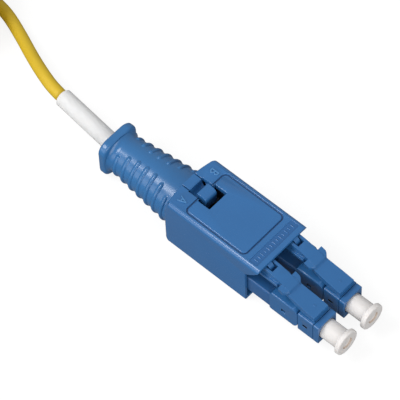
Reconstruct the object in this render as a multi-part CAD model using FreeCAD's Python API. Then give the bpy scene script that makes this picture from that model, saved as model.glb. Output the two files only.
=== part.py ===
import FreeCAD, Part
import math
import os

from FreeCAD import Placement, Rotation, Vector

# Duplex push-pull LC fibre connector on a round cable.
# Millimetres. +X is the mating direction, +Z is up, the shell's underside is z = 0,
# and the origin is the middle of that face.

# ---- driving dimensions ---------------------------------------------------
PLUG_PITCH = 6.25          # between the two plug axes
PLUG_W = 4.42              # plug nose, across
PLUG_H = 4.52              # plug nose, upright
AXIS_Z = 4.43              # plug, cable and boot axis above the underside
NOSE_X = 23.65             # front faces of the plug noses
FERRULE_R = 0.625

SHELL_W = 11.8
SHELL_H = 11.38
SHELL_WALL = 0.5
SHELL_FLOOR = 0.6
SHELL_FRONT = 8.65         # front edge of the side walls
VISOR_FRONT = 11.5         # front edge of the top plate
SHELL_REAR = -9.02         # rear face beside its corners
SHELL_REAR_BOW = 0.13      # how far the rear face bows out in the middle
REAR_ROLL_FROM = 8.6       # above this height the rear face rolls forward
SHELL_BACK_WALL = -7.95    # inner side of the rear wall
CEILING_Z = 10.35
VISOR_CEILING_Z = 10.8
TOP_EDGE_R = 0.8
LOW_EDGE_R = 0.45

PANEL_X = (-5.18, 7.85)
PANEL_HALF_W = 4.98
PANEL_R = 1.0
GROOVE_W = 0.26
GROOVE_DEPTH = 0.24
WINDOW_X = (-4.85, -2.24)
WINDOW_HALF_W = 2.08
SLOT_REAR = -7.15
SLOT_HALF_W = 1.75
TONGUE_HALF_W = 1.4
TONGUE_GAP = 0.18
STRIP_X = (8.9, 10.55)
STRIP_HALF_W = 5.1
STRIP_DEPTH = 0.12

# x, half width and half height of the boot's body at the shell, half way and the flange
BOOT_OVALS = ((-9.17, 4.98, 4.37), (-16.45, 4.17, 3.96), (-23.95, 3.36, 3.26))
BOOT_FLANGE_X = (-25.65, -23.95)
BOOT_FLANGE_HALF = 3.95
BOOT_FLANGE_R = 1.9
RIB_COUNT = 7
RIB_FIRST_X = -10.85
RIB_PITCH = 1.91
RIB_R = 0.42
RIB_SINK = 0.12            # bead centre line below the boot's surface

SLEEVE_R = 1.6
SLEEVE_BORE_R = 1.17
SLEEVE_FRONT = -20.2
SLEEVE_BEND_X = -24.85
SLEEVE_END_X = -38.75
SLEEVE_TURN = 6.1          # degrees, towards +Y
CABLE_R = 1.15

BODY_REAR = -6.6
BODY_FRONT = 7.4
BODY_HALF_W = 5.27
BODY_FLOOR_Z = 0.75
BODY_TOP_Z = 6.6
ARM_FRONT = 13.35
ARM_HALF_W = 2.13
ARM_Z = (2.45, 6.15)
COVER_TOP_Z = 10.22
POST_REAR = -15.0
POST_R = 1.7

SIDES = (("a", -PLUG_PITCH / 2), ("b", PLUG_PITCH / 2))

# The cable lies on the bench behind the boot and ends in a tied hank.
TIE_THICK = 0.3
CABLE_ROUTE = [
    (-38.75, 1.486, 4.43), (-41.15, 1.743, 4.43), (-44.4, 2.7, 4.3), (-49.0, 4.62, 3.2),
    (-54.4, 7.2, 1.9), (-60.4, 9.5, 1.5), (-66.0, 9.7, 1.5),
]
HANK_FOLD = (-69.0, 0.5)   # centre of the hank's near fold
HANK_RUN = 35.0            # straight runs between its two folds
HANK_MID_R = 8.05
HANK_COLUMNS = 2
HANK_LAYERS = 4
TIE_W = 4.0

# ---- small helpers --------------------------------------------------------


def box(x0, x1, y0, y1, z0, z1):
    return Part.makeBox(x1 - x0, y1 - y0, z1 - z0, Vector(x0, y0, z0))


def rod(x0, x1, radius, y=0.0, z=AXIS_Z):
    return Part.makeCylinder(radius, x1 - x0, Vector(x0, y, z), Vector(1, 0, 0))


def cone(x0, x1, r0, r1, y=0.0, z=AXIS_Z):
    return Part.makeCone(r0, r1, x1 - x0, Vector(x0, y, z), Vector(1, 0, 0))


def face_of(edges):
    return Part.Face(Part.Wire(edges))


def lines(points):
    """Straight edges through points, closed back to the first."""
    loop = points + [points[0]]
    return [Part.makeLine(a, b) for a, b in zip(loop[:-1], loop[1:])]


def side_prism(profile, y0, y1):
    """A side profile of (x, z) corners, carried from y0 to y1."""
    face = face_of(lines([Vector(x, y0, z) for x, z in profile]))
    return face.extrude(Vector(0, y1 - y0, 0))


def plan_prism(outline, z0, z1):
    """A plan outline of (x, y) corners, carried from z0 to z1."""
    face = face_of(lines([Vector(x, y, z0) for x, y in outline]))
    return face.extrude(Vector(0, 0, z1 - z0))


def arc(a, b, c):
    return Part.Arc(a, b, c).toShape()


def rounded_rect(half_w, half_h, radius, place):
    """A rounded rectangle's wire, with place turning (u, v) into a point."""
    w, h, r = half_w, half_h, radius
    k = r * (1 - math.sqrt(0.5))
    edges = []
    corners = [
        ((w, -h + r), (w, h - r), (w - k, h - k), (w - r, h)),
        ((w - r, h), (-w + r, h), (-w + k, h - k), (-w, h - r)),
        ((-w, h - r), (-w, -h + r), (-w + k, -h + k), (-w + r, -h)),
        ((-w + r, -h), (w - r, -h), (w - k, -h + k), (w, -h + r)),
    ]
    for start, end, mid, stop in corners:
        edges.append(Part.makeLine(place(*start), place(*end)))
        edges.append(arc(place(*end), place(*mid), place(*stop)))
    return Part.Wire(edges)


def bar(x0, x1, half_w, half_h, radius, y=0.0, z=AXIS_Z):
    """A rounded rectangular bar along X."""
    wire = rounded_rect(half_w, half_h, radius, lambda u, v: Vector(x0, y + u, z + v))
    return Part.Face(wire).extrude(Vector(x1 - x0, 0, 0))


def pad(x0, x1, half_w, radius, z0, z1):
    """A plate with rounded corners seen from above."""
    mid, half = (x0 + x1) / 2, (x1 - x0) / 2
    wire = rounded_rect(half, half_w, radius, lambda u, v: Vector(mid + u, v, z0))
    return Part.Face(wire).extrude(Vector(0, 0, z1 - z0))


def soften(shape, radius, wanted):
    """Rounds the edges that wanted(edge) picks."""
    edges = [e for e in shape.Edges if wanted(e)]
    return shape.makeFillet(radius, edges) if edges else shape


def route_wire(points, share=0.45):
    """Straight runs joined by tangent arcs, each as large as its two runs allow."""
    pts = [Vector(*p) for p in points]
    edges, radii, at = [], [], pts[0]
    for before, corner, after in zip(pts[:-2], pts[1:-1], pts[2:]):
        come = (corner - before).normalize()
        go = (after - corner).normalize()
        half_turn = come.getAngle(go) / 2
        cut = share * min((corner - before).Length, (after - corner).Length)
        radius = cut / math.tan(half_turn)
        start, end = corner - come * cut, corner + go * cut
        inward = (go - come).normalize()
        middle = corner + inward * (radius / math.cos(half_turn) - radius)
        edges.append(Part.LineSegment(at, start).toShape())
        edges.append(Part.Arc(start, middle, end).toShape())
        radii.append(radius)
        at = end
    edges.append(Part.LineSegment(at, pts[-1]).toShape())
    return Part.Wire(edges), radii


def tube_on(wire, outer, inner=0.0):
    """A round tube or rod carried along a wire."""
    first = wire.Edges[0]
    start = first.valueAt(first.FirstParameter)
    heading = first.tangentAt(first.FirstParameter)
    shapes = []
    for radius in (outer, inner):
        if radius > 0:
            ring = Part.Wire(Part.Circle(start, heading, radius).toShape())
            shapes.append(wire.makePipeShell([ring], True, True))
    return shapes[0].cut(shapes[1]) if inner > 0 else shapes[0]


# ---- outer shell ----------------------------------------------------------


def shell_side_profile():
    """Side view of the shell: upright front edge, skirt sweeping up to the visor."""
    y = -SHELL_W
    low_skirt = Vector(SHELL_FRONT, y, 7.95)
    mid_skirt = Vector(SHELL_FRONT + 1.62, y, 9.33)
    tip_low = Vector(VISOR_FRONT, y, VISOR_CEILING_Z)
    tip_top = Vector(VISOR_FRONT, y, SHELL_H)
    rear = SHELL_REAR - 1
    edges = [
        Part.makeLine(Vector(rear, y, 0), Vector(SHELL_FRONT, y, 0)),
        Part.makeLine(Vector(SHELL_FRONT, y, 0), low_skirt),
        arc(low_skirt, mid_skirt, tip_low),
        Part.makeLine(tip_low, tip_top),
        Part.makeLine(tip_top, Vector(rear, y, SHELL_H)),
        Part.makeLine(Vector(rear, y, SHELL_H), Vector(rear, y, 0)),
    ]
    return face_of(edges).extrude(Vector(0, 2 * SHELL_W, 0))


def plan_outline(z, roll):
    """Plan of the shell at a height; roll 0 to 1 draws the rear in and rounds it."""
    w, r = SHELL_W / 2, 0.6 + 0.7 * roll
    side = SHELL_REAR + 0.72 * roll
    middle = SHELL_REAR - SHELL_REAR_BOW + 0.3 * roll
    k = r * (1 - math.sqrt(0.5))
    near, far = Vector(side + r, -w, z), Vector(side + r, w, z)
    near_end, far_end = Vector(side, -w + r, z), Vector(side, w - r, z)
    return Part.Wire([
        Part.makeLine(Vector(VISOR_FRONT, -w, z), near),
        arc(near, Vector(side + k, -w + k, z), near_end),
        arc(near_end, Vector(middle, 0, z), far_end),
        arc(far_end, Vector(side + k, w - k, z), far),
        Part.makeLine(far, Vector(VISOR_FRONT, w, z)),
        Part.makeLine(Vector(VISOR_FRONT, w, z), Vector(VISOR_FRONT, -w, z)),
    ])


def shell_plan():
    """Body of the shell seen from above: upright sides, rear rolled in at top and foot."""
    sweep = math.radians(75)
    rise = SHELL_H - REAR_ROLL_FROM
    levels = [(0.0, 0.55), (0.2, 0.3), (0.45, 0.12), (0.9, 0.0)]
    for share in (0.0, 0.36, 0.65, 0.85, 1.0):
        roll = (1 - math.cos(sweep * share)) / (1 - math.cos(sweep))
        levels.append((REAR_ROLL_FROM + rise * share, roll))
    parts = []
    for (z0, roll0), (z1, roll1) in zip(levels[:-1], levels[1:]):
        parts.append(Part.makeLoft([plan_outline(z0, roll0), plan_outline(z1, roll1)], True, True))
    return parts[0].fuse(parts[1:])


def shell_section():
    """Cross-section of the shell, carried along its whole length."""
    w, h, top, low = SHELL_W / 2, SHELL_H, TOP_EDGE_R, LOW_EDGE_R
    x = SHELL_REAR - 1
    kt, kl = top * (1 - math.sqrt(0.5)), low * (1 - math.sqrt(0.5))
    edges = [
        Part.makeLine(Vector(x, -w + low, 0), Vector(x, w - low, 0)),
        arc(Vector(x, w - low, 0), Vector(x, w - kl, kl), Vector(x, w, low)),
        Part.makeLine(Vector(x, w, low), Vector(x, w, h - top)),
        arc(Vector(x, w, h - top), Vector(x, w - kt, h - kt), Vector(x, w - top, h)),
        Part.makeLine(Vector(x, w - top, h), Vector(x, -w + top, h)),
        arc(Vector(x, -w + top, h), Vector(x, -w + kt, h - kt), Vector(x, -w, h - top)),
        Part.makeLine(Vector(x, -w, h - top), Vector(x, -w, low)),
        arc(Vector(x, -w, low), Vector(x, -w + kl, kl), Vector(x, -w + low, 0)),
    ]
    return face_of(edges).extrude(Vector(VISOR_FRONT - x, 0, 0))


def cam_finger(y):
    """Finger under the visor whose sloping back pushes a latch tail down."""
    top = VISOR_CEILING_Z + 0.2
    profile = [
        (10.45, top), (11.4, top), (11.75, 10.75), (12.12, 10.3), (12.3, 9.8),
        (12.26, 9.5), (12.08, 9.38), (11.9, 9.42), (10.45, 10.7),
    ]
    return side_prism(profile, y - 0.48, y + 0.48)


def make_outer_housing():
    shell = shell_side_profile().common(shell_plan()).common(shell_section())
    inner_w = SHELL_W / 2 - SHELL_WALL
    hollow = bar(SHELL_BACK_WALL, VISOR_FRONT + 1, inner_w, (CEILING_Z - SHELL_FLOOR) / 2,
                 0.35, 0, (CEILING_Z + SHELL_FLOOR) / 2)
    visor_room = box(8.0, VISOR_FRONT + 1, -inner_w + 0.3, inner_w - 0.3, 9.0, VISOR_CEILING_Z)
    shell = shell.cut(hollow).cut(visor_room)
    shell = shell.cut(rod(SHELL_REAR - 2, SHELL_BACK_WALL + 1, 3.3))
    # window, slot and the slits beside the tongue
    shell = shell.cut(box(*WINDOW_X, -WINDOW_HALF_W, WINDOW_HALF_W, 9.5, SHELL_H + 1))
    shell = shell.cut(box(SLOT_REAR, WINDOW_X[0] + 0.1, -SLOT_HALF_W, SLOT_HALF_W, 9.5, SHELL_H + 1))
    slit = TONGUE_HALF_W + TONGUE_GAP
    shell = shell.cut(box(SHELL_REAR - 1, SLOT_REAR + 0.1, -slit, slit, 9.9, SHELL_H + 1))
    # groove round the panel, and the shallow strip near the visor
    z0 = SHELL_H - GROOVE_DEPTH
    outer = pad(*PANEL_X, PANEL_HALF_W, PANEL_R, z0, SHELL_H + 1)
    inner = pad(PANEL_X[0] + GROOVE_W, PANEL_X[1] - GROOVE_W, PANEL_HALF_W - GROOVE_W,
                PANEL_R - GROOVE_W, z0, SHELL_H + 1)
    shell = shell.cut(outer.cut(inner))
    shell = shell.cut(pad(*STRIP_X, STRIP_HALF_W, 0.3, SHELL_H - STRIP_DEPTH, SHELL_H + 1))
    for _, y in SIDES:
        shell = shell.fuse(cam_finger(y))
    return shell.removeSplitter()


# ---- boot -----------------------------------------------------------------


def boot_half_sizes(x):
    """Half width and half height of the boot's oval body at x."""
    for (x0, *big), (x1, *small) in zip(BOOT_OVALS[:-1], BOOT_OVALS[1:]):
        if x >= x1:
            share = (x - x1) / (x0 - x1)
            return [s + (b - s) * share for s, b in zip(small, big)]
    return list(BOOT_OVALS[-1][1:])


def oval(x, half_w, half_h):
    """An oval wire across X."""
    curve = Part.Ellipse(Vector(x, half_w, AXIS_Z), Vector(x, 0, AXIS_Z + half_h),
                         Vector(x, 0, AXIS_Z))
    return Part.Wire(curve.toShape())


def boot_rib(index):
    """The two side beads of one rib, each with a round fingertip above and below."""
    x = RIB_FIRST_X - RIB_PITCH * index
    reach = math.radians(69.5 - 1.62 * abs(index - 3.05) ** 2.45)
    half_w, half_h = [half - RIB_SINK for half in boot_half_sizes(x)]
    tip_y, tip_z = half_w * math.cos(reach), half_h * math.sin(reach)
    radius = ((half_w - tip_y) ** 2 + tip_z ** 2) / (2 * (half_w - tip_y))
    turn = 2 * math.degrees(math.asin(tip_z / radius))
    beads = []
    for side in (-1, 1):
        centre = Vector(x, side * (half_w - radius), AXIS_Z)
        low = Vector(x, side * tip_y, AXIS_Z - tip_z)
        high = Vector(x, side * tip_y, AXIS_Z + tip_z)
        heading = (low - centre).cross(Vector(1, 0, 0))
        ring = Part.Wire(Part.Circle(low, heading, RIB_R).toShape())
        beads.append(Part.Face(ring).revolve(centre, Vector(side, 0, 0), turn))
        beads += [Part.makeSphere(RIB_R, low), Part.makeSphere(RIB_R, high)]
    return beads


def flange_root():
    """Concave sweep from the flange down to the body."""
    x = BOOT_FLANGE_X[1]
    foot, rim = Vector(x + 1.15, 0, AXIS_Z + 3.42), Vector(x - 0.2, 0, AXIS_Z + 3.98)
    edges = [
        arc(rim, Vector(x + 0.22, 0, AXIS_Z + 3.62), foot),
        Part.makeLine(foot, Vector(foot.x, 0, AXIS_Z)),
        Part.makeLine(Vector(foot.x, 0, AXIS_Z), Vector(rim.x, 0, AXIS_Z)),
        Part.makeLine(Vector(rim.x, 0, AXIS_Z), rim),
    ]
    return face_of(edges).revolve(Vector(0, 0, AXIS_Z), Vector(1, 0, 0), 360)


def make_pull_boot():
    body = Part.makeLoft([oval(*section) for section in BOOT_OVALS], True, True)
    f0, f1 = BOOT_FLANGE_X
    flange = bar(f0, f1, BOOT_FLANGE_HALF, BOOT_FLANGE_HALF, BOOT_FLANGE_R)
    flange = soften(flange, 0.55, lambda e: abs(e.CenterOfMass.x - f1) < 1e-6
                    or abs(e.CenterOfMass.x - f0) < 1e-6)
    neck = rod(BOOT_OVALS[0][0] - 0.5, SHELL_BACK_WALL + 0.15, 3.1)
    collar = rod(SHELL_BACK_WALL + 0.12, SHELL_BACK_WALL + 1.0, 3.65)
    boot = body.fuse([flange, flange_root(), neck, collar])
    beads = [bead for index in range(RIB_COUNT) for bead in boot_rib(index)]
    boot = boot.fuse(beads)
    boot = boot.cut(rod(-18.5, SHELL_BACK_WALL + 2, 2.5))
    boot = boot.cut(rod(f0 - 1, -18.4, 1.85))
    boot = boot.cut(cone(f0 - 0.01, f0 + 2.8, 2.3, 1.85))
    return boot.removeSplitter()


# ---- inner carrier --------------------------------------------------------


def make_inner_body():
    low, high = BODY_FLOOR_Z, BODY_TOP_Z
    mid_z, half_h = (low + high) / 2, (high - low) / 2
    tray = bar(BODY_REAR, BODY_FRONT, BODY_HALF_W, half_h, 0.3, 0, mid_z)
    tray = tray.cut(box(BODY_REAR + 1.2, BODY_FRONT - 1.6, -4.5, 4.5, low + 0.7, high + 1))
    arm_mid, arm_half = sum(ARM_Z) / 2, (ARM_Z[1] - ARM_Z[0]) / 2
    for _, y in SIDES:
        arm = bar(BODY_FRONT - 1, ARM_FRONT, ARM_HALF_W, arm_half, 0.3, y, arm_mid)
        tray = tray.fuse(arm)
    post = rod(POST_REAR, BODY_REAR + 0.5, POST_R)
    for k in range(6):
        post = post.fuse(rod(POST_REAR + 0.5 + 0.7 * k, POST_REAR + 0.8 + 0.7 * k, POST_R + 0.1))
    tray = tray.fuse(post)
    tray = tray.cut(rod(POST_REAR - 1, BODY_REAR + 2, 1.2))
    for _, y in SIDES:
        tray = tray.cut(rod(BODY_FRONT - 2.6, ARM_FRONT + 1, 1.4, y))
    return tray.removeSplitter()


def make_inner_cover():
    low, high = BODY_TOP_Z + 0.02, COVER_TOP_Z
    cover = bar(BODY_REAR, BODY_FRONT, BODY_HALF_W, (high - low) / 2, 0.3, 0, (low + high) / 2)
    # room for the hook, and the open front between the latch tails
    cover = cover.cut(box(-6.1, -1.6, -2.2, 2.2, 7.6, high + 1))
    cover = cover.cut(box(BODY_REAR - 1, -6.0, -1.65, 1.65, 8.0, high + 1))
    cover = cover.cut(box(3.4, BODY_FRONT + 1, -4.6, 4.6, 7.4, high + 1))
    # two ribs that locate it in the tray
    for y in (-3.9, 3.9):
        cover = cover.fuse(box(-4.6, 4.6, y - 0.4, y + 0.4, low - 0.7, low + 0.2))
    # bracket that carries the lever's hinged end
    bracket = side_prism([
        (-8.75, high), (-8.1, high), (-7.2, 9.9), (-6.9, 9.45), (-6.6, 8.8), (-6.4, 8.35),
        (-6.15, 8.1), (-6.1, 7.8), (-6.5, 7.8), (-6.65, 8.2), (-7.2, 8.3), (-7.75, 9.1),
        (-7.75, 9.97), (-8.75, 9.97),
    ], -TONGUE_HALF_W, TONGUE_HALF_W)
    return cover.fuse(bracket).removeSplitter()


def make_lock_lever():
    """Tongue, finger scoop and hook in one strip of even width, hooked end forward."""
    y = -TONGUE_HALF_W
    z_low = COVER_TOP_Z + 0.04
    rear = -8.8
    top = SHELL_H - 0.02
    lip = Vector(-7.15, y, top - 0.12)
    scoop_mid = Vector(-6.75, y, 10.2)
    scoop_end = Vector(-5.95, y, 9.75)
    hook_back = Vector(-5.62, y, 9.75)
    hook_rear = Vector(-5.62, y, 11.76)
    hook_top = Vector(-4.6, y, 11.72)
    hook_round = Vector(-3.96, y, 11.38)
    hook_front = Vector(-3.72, y, 10.5)
    nose_low = Vector(-3.72, y, 8.9)
    under = [Vector(-5.3, y, 8.7), Vector(-6.0, y, 8.95), Vector(-6.55, y, 9.75),
             Vector(-7.0, y, z_low)]
    edges = [
        Part.makeLine(Vector(rear, y, z_low), Vector(rear, y, top)),
        Part.makeLine(Vector(rear, y, top), Vector(-7.4, y, top)),
        Part.makeLine(Vector(-7.4, y, top), lip),
        arc(lip, scoop_mid, scoop_end),
        Part.makeLine(scoop_end, hook_back),
        Part.makeLine(hook_back, hook_rear),
        Part.makeLine(hook_rear, hook_top),
        arc(hook_top, hook_round, hook_front),
        Part.makeLine(hook_front, nose_low),
        Part.makeLine(nose_low, under[0]),
        Part.makeLine(under[0], under[1]),
        Part.makeLine(under[1], under[2]),
        Part.makeLine(under[2], under[3]),
        Part.makeLine(under[3], Vector(rear, y, z_low)),
    ]
    lever = face_of(edges).extrude(Vector(0, 2 * TONGUE_HALF_W, 0))
    hook_w = 1.28
    for side in (-1, 1):
        y0, y1 = sorted((side * hook_w, side * 2))
        lever = lever.cut(box(-5.7, -3, y0, y1, 8.5, 12.2))
    return lever.removeSplitter()


def make_crimp_ring():
    profile = [
        (BODY_REAR - 3.4, 1.84), (BODY_REAR - 3.4, 2.2), (POST_REAR - 0.1, 2.2),
        (POST_REAR - 0.7, 1.55), (POST_REAR - 2.4, 1.55), (POST_REAR - 2.4, CABLE_R),
        (POST_REAR - 0.2, CABLE_R), (POST_REAR - 0.05, 1.84),
    ]
    face = face_of(lines([Vector(x, 0, AXIS_Z + r) for x, r in profile]))
    return face.revolve(Vector(0, 0, AXIS_Z), Vector(1, 0, 0), 360)


# ---- plugs ----------------------------------------------------------------

SHELL_X = (ARM_FRONT, 19.25)     # rear shell of a plug
RING_X = (19.35, 22.5)           # latch ring
NOSE_BACK = 22.58
CORE_HALF = 1.72                 # square core inside the shell and the ring
SHELL_HOLE = (16.3, 4.2)
RING_HOLE = (20.83, 4.45)
CAM_BAR = (10.25, 10.3)


def peg(x, z, y, half_x, half_z, side):
    """Square snap peg on one side of the core."""
    y0, y1 = sorted((y + side * (CORE_HALF - 0.1), y + side * (CORE_HALF + 0.3)))
    return box(x - half_x, x + half_x, y0, y1, z - half_z, z + half_z)


def make_plug_frame(y):
    nose = bar(NOSE_BACK, NOSE_X, PLUG_W / 2, PLUG_H / 2, 0.28, y)
    core = bar(SHELL_X[0] + 0.15, NOSE_BACK + 0.2, CORE_HALF, CORE_HALF, 0.2, y)
    frame = nose.fuse(core)
    for side in (-1, 1):
        frame = frame.fuse(peg(*SHELL_HOLE, y, 0.33, 0.3, side))
        frame = frame.fuse(peg(*RING_HOLE, y, 0.38, 0.22, side))
    frame = frame.cut(rod(22.66, NOSE_X + 1, 1.9, y))
    frame = frame.cut(rod(21.9, 22.8, 1.55, y))
    frame = frame.cut(rod(21.0, 22.0, 0.75, y))
    frame = frame.cut(rod(SHELL_X[0] - 1, 21.5, 1.45, y))
    return frame.removeSplitter()


def make_plug_shell(y):
    """Rear shell: flat sides, rounded front corners, a snap hole each side."""
    x0, x1 = SHELL_X
    z0, z1 = 2.05, 6.97
    w = PLUG_W / 2
    back_low, back_top = Vector(x0, y - w, z0), Vector(x0, y - w, z1)
    step_low, step_top = Vector(x0, y - w, ARM_Z[0] - 0.05), Vector(x0, y - w, ARM_Z[1] + 0.1)
    chamfer_low, chamfer_top = Vector(x0 + 0.5, y - w, z0), Vector(x0 + 0.45, y - w, z1)
    top_run, top_end = Vector(x1 - 1.2, y - w, z1), Vector(x1, y - w, z1 - 1.0)
    low_run, low_end = Vector(x1 - 1.35, y - w, z0), Vector(x1, y - w, z0 + 1.25)
    edges = [
        Part.makeLine(step_low, chamfer_low), Part.makeLine(chamfer_low, low_run),
        arc(low_run, Vector(x1 - 0.45, y - w, z0 + 0.38), low_end),
        Part.makeLine(low_end, top_end),
        arc(top_end, Vector(x1 - 0.38, y - w, z1 - 0.33), top_run),
        Part.makeLine(top_run, chamfer_top), Part.makeLine(chamfer_top, step_top),
        Part.makeLine(step_top, step_low),
    ]
    shell = face_of(edges).extrude(Vector(0, 2 * w, 0))
    shell = shell.common(bar(x0 - 1, x1 + 1, w, (z1 - z0) / 2, 0.26, y, (z0 + z1) / 2))
    core = CORE_HALF + 0.02
    shell = shell.cut(bar(x0 + 0.13, x1 + 1, core, core, 0.2, y))
    shell = shell.cut(rod(x0 - 1, x0 + 1, 1.45, y))
    x, z = SHELL_HOLE
    shell = shell.cut(box(x - 0.38, x + 0.38, y - 3, y + 3, z - 0.36, z + 0.36))
    return shell.removeSplitter()


def make_latch_ring(y):
    x0, x1 = RING_X
    ring = bar(x0, x1, PLUG_W / 2, (6.75 - 2.17) / 2, 0.26, y, (6.75 + 2.17) / 2)
    core = CORE_HALF + 0.02
    ring = ring.cut(bar(x0 - 1, x1 + 1, core, core, 0.2, y))
    x, z = RING_HOLE
    return ring.cut(box(x - 0.44, x + 0.44, y - 3, y + 3, z - 0.27, z + 0.27)).removeSplitter()


def make_latch_arm(y):
    """Sprung arm: root at the nose, ramp, ears, and a forked tail with a cam bar."""
    plate = side_prism([
        (22.38, 6.82), (22.38, 7.9), (20.9, 8.1), (18.6, 8.48), (17.05, 8.78),
        (16.3, 9.1), (15.2, 9.3), (14.9, 8.6), (16.75, 8.08), (18.1, 7.6), (19.4, 7.14),
    ], y - 1.7, y + 1.7)
    taper = plan_prism([(23, y - 1.74), (23, y + 1.74), (20, y + 1.68), (17.3, y + 1.55),
                        (14, y + 1.45), (14, y - 1.45), (17.3, y - 1.55), (20, y - 1.68)], 6, 12)
    plate = plate.common(taper)
    raised_top = [(17.02, 8.7), (16.72, 9.35), (16.2, 9.6), (15.2, 9.97), (13.8, 10.36),
                  (12.6, 10.58), (11.6, 10.68), (9.95, 10.70)]
    raised_low = [(9.95, 9.25), (12.2, 9.15), (14.9, 8.6), (16.75, 8.08)]
    raised = side_prism(raised_top + raised_low, y - 1.18, y + 1.18)
    ear_slab = side_prism([(16.9, 8.95), (16.6, 9.38), (16.1, 9.6), (15.12, 9.94),
                           (15.12, 9.0), (16.0, 8.7)], y - 2.2, y + 2.2)
    ears = ear_slab.common(plan_prism([
        (16.9, y - 1.4), (16.35, y - 1.95), (16.05, y - 2.1), (15.15, y - 2.1),
        (15.15, y + 2.1), (16.05, y + 2.1), (16.35, y + 1.95), (16.9, y + 1.4)], 8, 11))
    rails = side_prism([(14.6, 9.0), (14.6, 9.22), (14.42, 9.42), (9.95, 9.42), (9.95, 8.95),
                        (14.4, 8.85)], y - 1.62, y + 1.62)
    arm = plate.fuse([raised, ears, rails])
    arm = arm.cut(box(10.62, 12.75, y - 0.7, y + 0.7, 8, 12))
    arm = arm.cut(box(9, 10.7, y - 0.7, y + 0.7, 8, 12))
    x, z = CAM_BAR
    cam = Part.makeCylinder(0.28, 1.8, Vector(x, y - 0.9, z), Vector(0, 1, 0))
    return arm.fuse(cam).removeSplitter()


def make_ferrule(y):
    body = rod(20.4, 26.55, FERRULE_R, y)
    tip = cone(26.55, 26.8, FERRULE_R, 0.42, y)
    return body.fuse(tip).cut(rod(20.3, 21.1, 0.32, y)).removeSplitter()


def make_ferrule_flange(y):
    head = rod(19.7, 21.45, 1.33, y)
    tail = rod(14.6, 19.8, 0.88, y)
    flange = head.fuse(tail)
    flange = flange.cut(rod(20.4, 22, FERRULE_R, y))
    return flange.cut(rod(14, 20.5, 0.4, y)).removeSplitter()


def make_spring(y):
    """Compression spring on the flange's tail, seated on the rear stop."""
    wire_r, coil_r, x0, x1, turns = 0.15, 1.1, 15.15, 19.5, 5
    helix = Part.makeHelix((x1 - x0) / turns, x1 - x0, coil_r)
    ring = Part.Circle(Vector(coil_r, 0, 0), Vector(0, 1, 0), wire_r).toShape()
    coil = Part.Wire(helix).makePipeShell([Part.Wire(ring)], True, True)
    coil.rotate(Vector(0, 0, 0), Vector(0, 1, 0), 90)
    coil.translate(Vector(x0, y, AXIS_Z))
    return coil


def make_spring_stop(y):
    stop = rod(9.6, 14.95, 1.37, y)
    return stop.cut(rod(9, 16, 0.94, y)).removeSplitter()


def make_fibre(y):
    """Buffered fibre from the cable's end to the ferrule."""
    lean = 0.36 if y > 0 else -0.36
    points = [
        (POST_REAR + 0.1, lean, AXIS_Z), (-5.2, lean, AXIS_Z),
        (3.6, y, AXIS_Z), (19.3, y, AXIS_Z),
    ]
    wire, _ = route_wire(points)
    return tube_on(wire, 0.3)


def make_dust_cap(y):
    """Cap: spigot, tube on the ferrule, wide rim, shallow round dish in its end."""
    profile = [
        (22.75, 0.66), (22.75, 1.4), (23.5, 1.4), (23.5, 1.76), (26.95, 1.76), (27.1, 1.95), (27.1, 2.22),
        (27.25, 2.36), (27.8, 2.36), (27.93, 2.24), (27.93, 1.25), (27.8, 1.15),
        (27.8, 0), (26.9, 0), (26.9, 0.66),
    ]
    face = face_of(lines([Vector(x, y, AXIS_Z + r) for x, r in profile]))
    return face.revolve(Vector(0, y, AXIS_Z), Vector(1, 0, 0), 360)


# ---- cable ----------------------------------------------------------------


def sleeve_path(x_front, past):
    """Path of the sleeve and the cable inside it, with a slight turn behind the boot."""
    turn = math.radians(SLEEVE_TURN)
    reach = (SLEEVE_BEND_X - SLEEVE_END_X) / math.cos(turn) + past
    bend = Vector(SLEEVE_BEND_X, 0, AXIS_Z)
    end = bend + Vector(-math.cos(turn), math.sin(turn), 0) * reach
    radius = 15.0
    cut = radius * math.tan(turn / 2)
    start_arc = bend + Vector(cut, 0, 0)
    end_arc = bend + Vector(-math.cos(turn), math.sin(turn), 0) * cut
    mid_arc = bend + Vector(math.sin(turn / 2), math.cos(turn / 2), 0) * (
        radius / math.cos(turn / 2) - radius)
    return Part.Wire([
        Part.LineSegment(Vector(x_front, 0, AXIS_Z), start_arc).toShape(),
        Part.Arc(start_arc, mid_arc, end_arc).toShape(),
        Part.LineSegment(end_arc, end).toShape(),
    ])


def make_cable_sleeve():
    return tube_on(sleeve_path(SLEEVE_FRONT, 0.0), SLEEVE_R, SLEEVE_BORE_R)


def make_cable_in_boot():
    return tube_on(sleeve_path(POST_REAR - 0.05, 0.0), CABLE_R)


def make_cable_run():
    wire, radii = route_wire(CABLE_ROUTE)
    tube = tube_on(wire, CABLE_R)
    print("cable run length", round(wire.Length, 1), "radii", [round(r, 1) for r in radii])
    print("volume", round(tube.Volume, 2), "section x length",
          round(math.pi * CABLE_R ** 2 * wire.Length, 2))
    return tube


def hank_half_sizes():
    """Half width and half height of the bundle of turns."""
    return HANK_COLUMNS * CABLE_R, HANK_LAYERS * CABLE_R


def bundle_section(x, y, grow=0.0, slack=0.0):
    """Face across X of the bundle of turns, its corners as round as the cable."""
    half_w, half_h = hank_half_sizes()
    mid_z = TIE_THICK + 0.05 + half_h
    return Part.Face(rounded_rect(half_w + slack + grow, half_h + slack / 3 + grow,
                                  CABLE_R + grow, lambda u, v: Vector(x, y + u, mid_z + v)))


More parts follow.
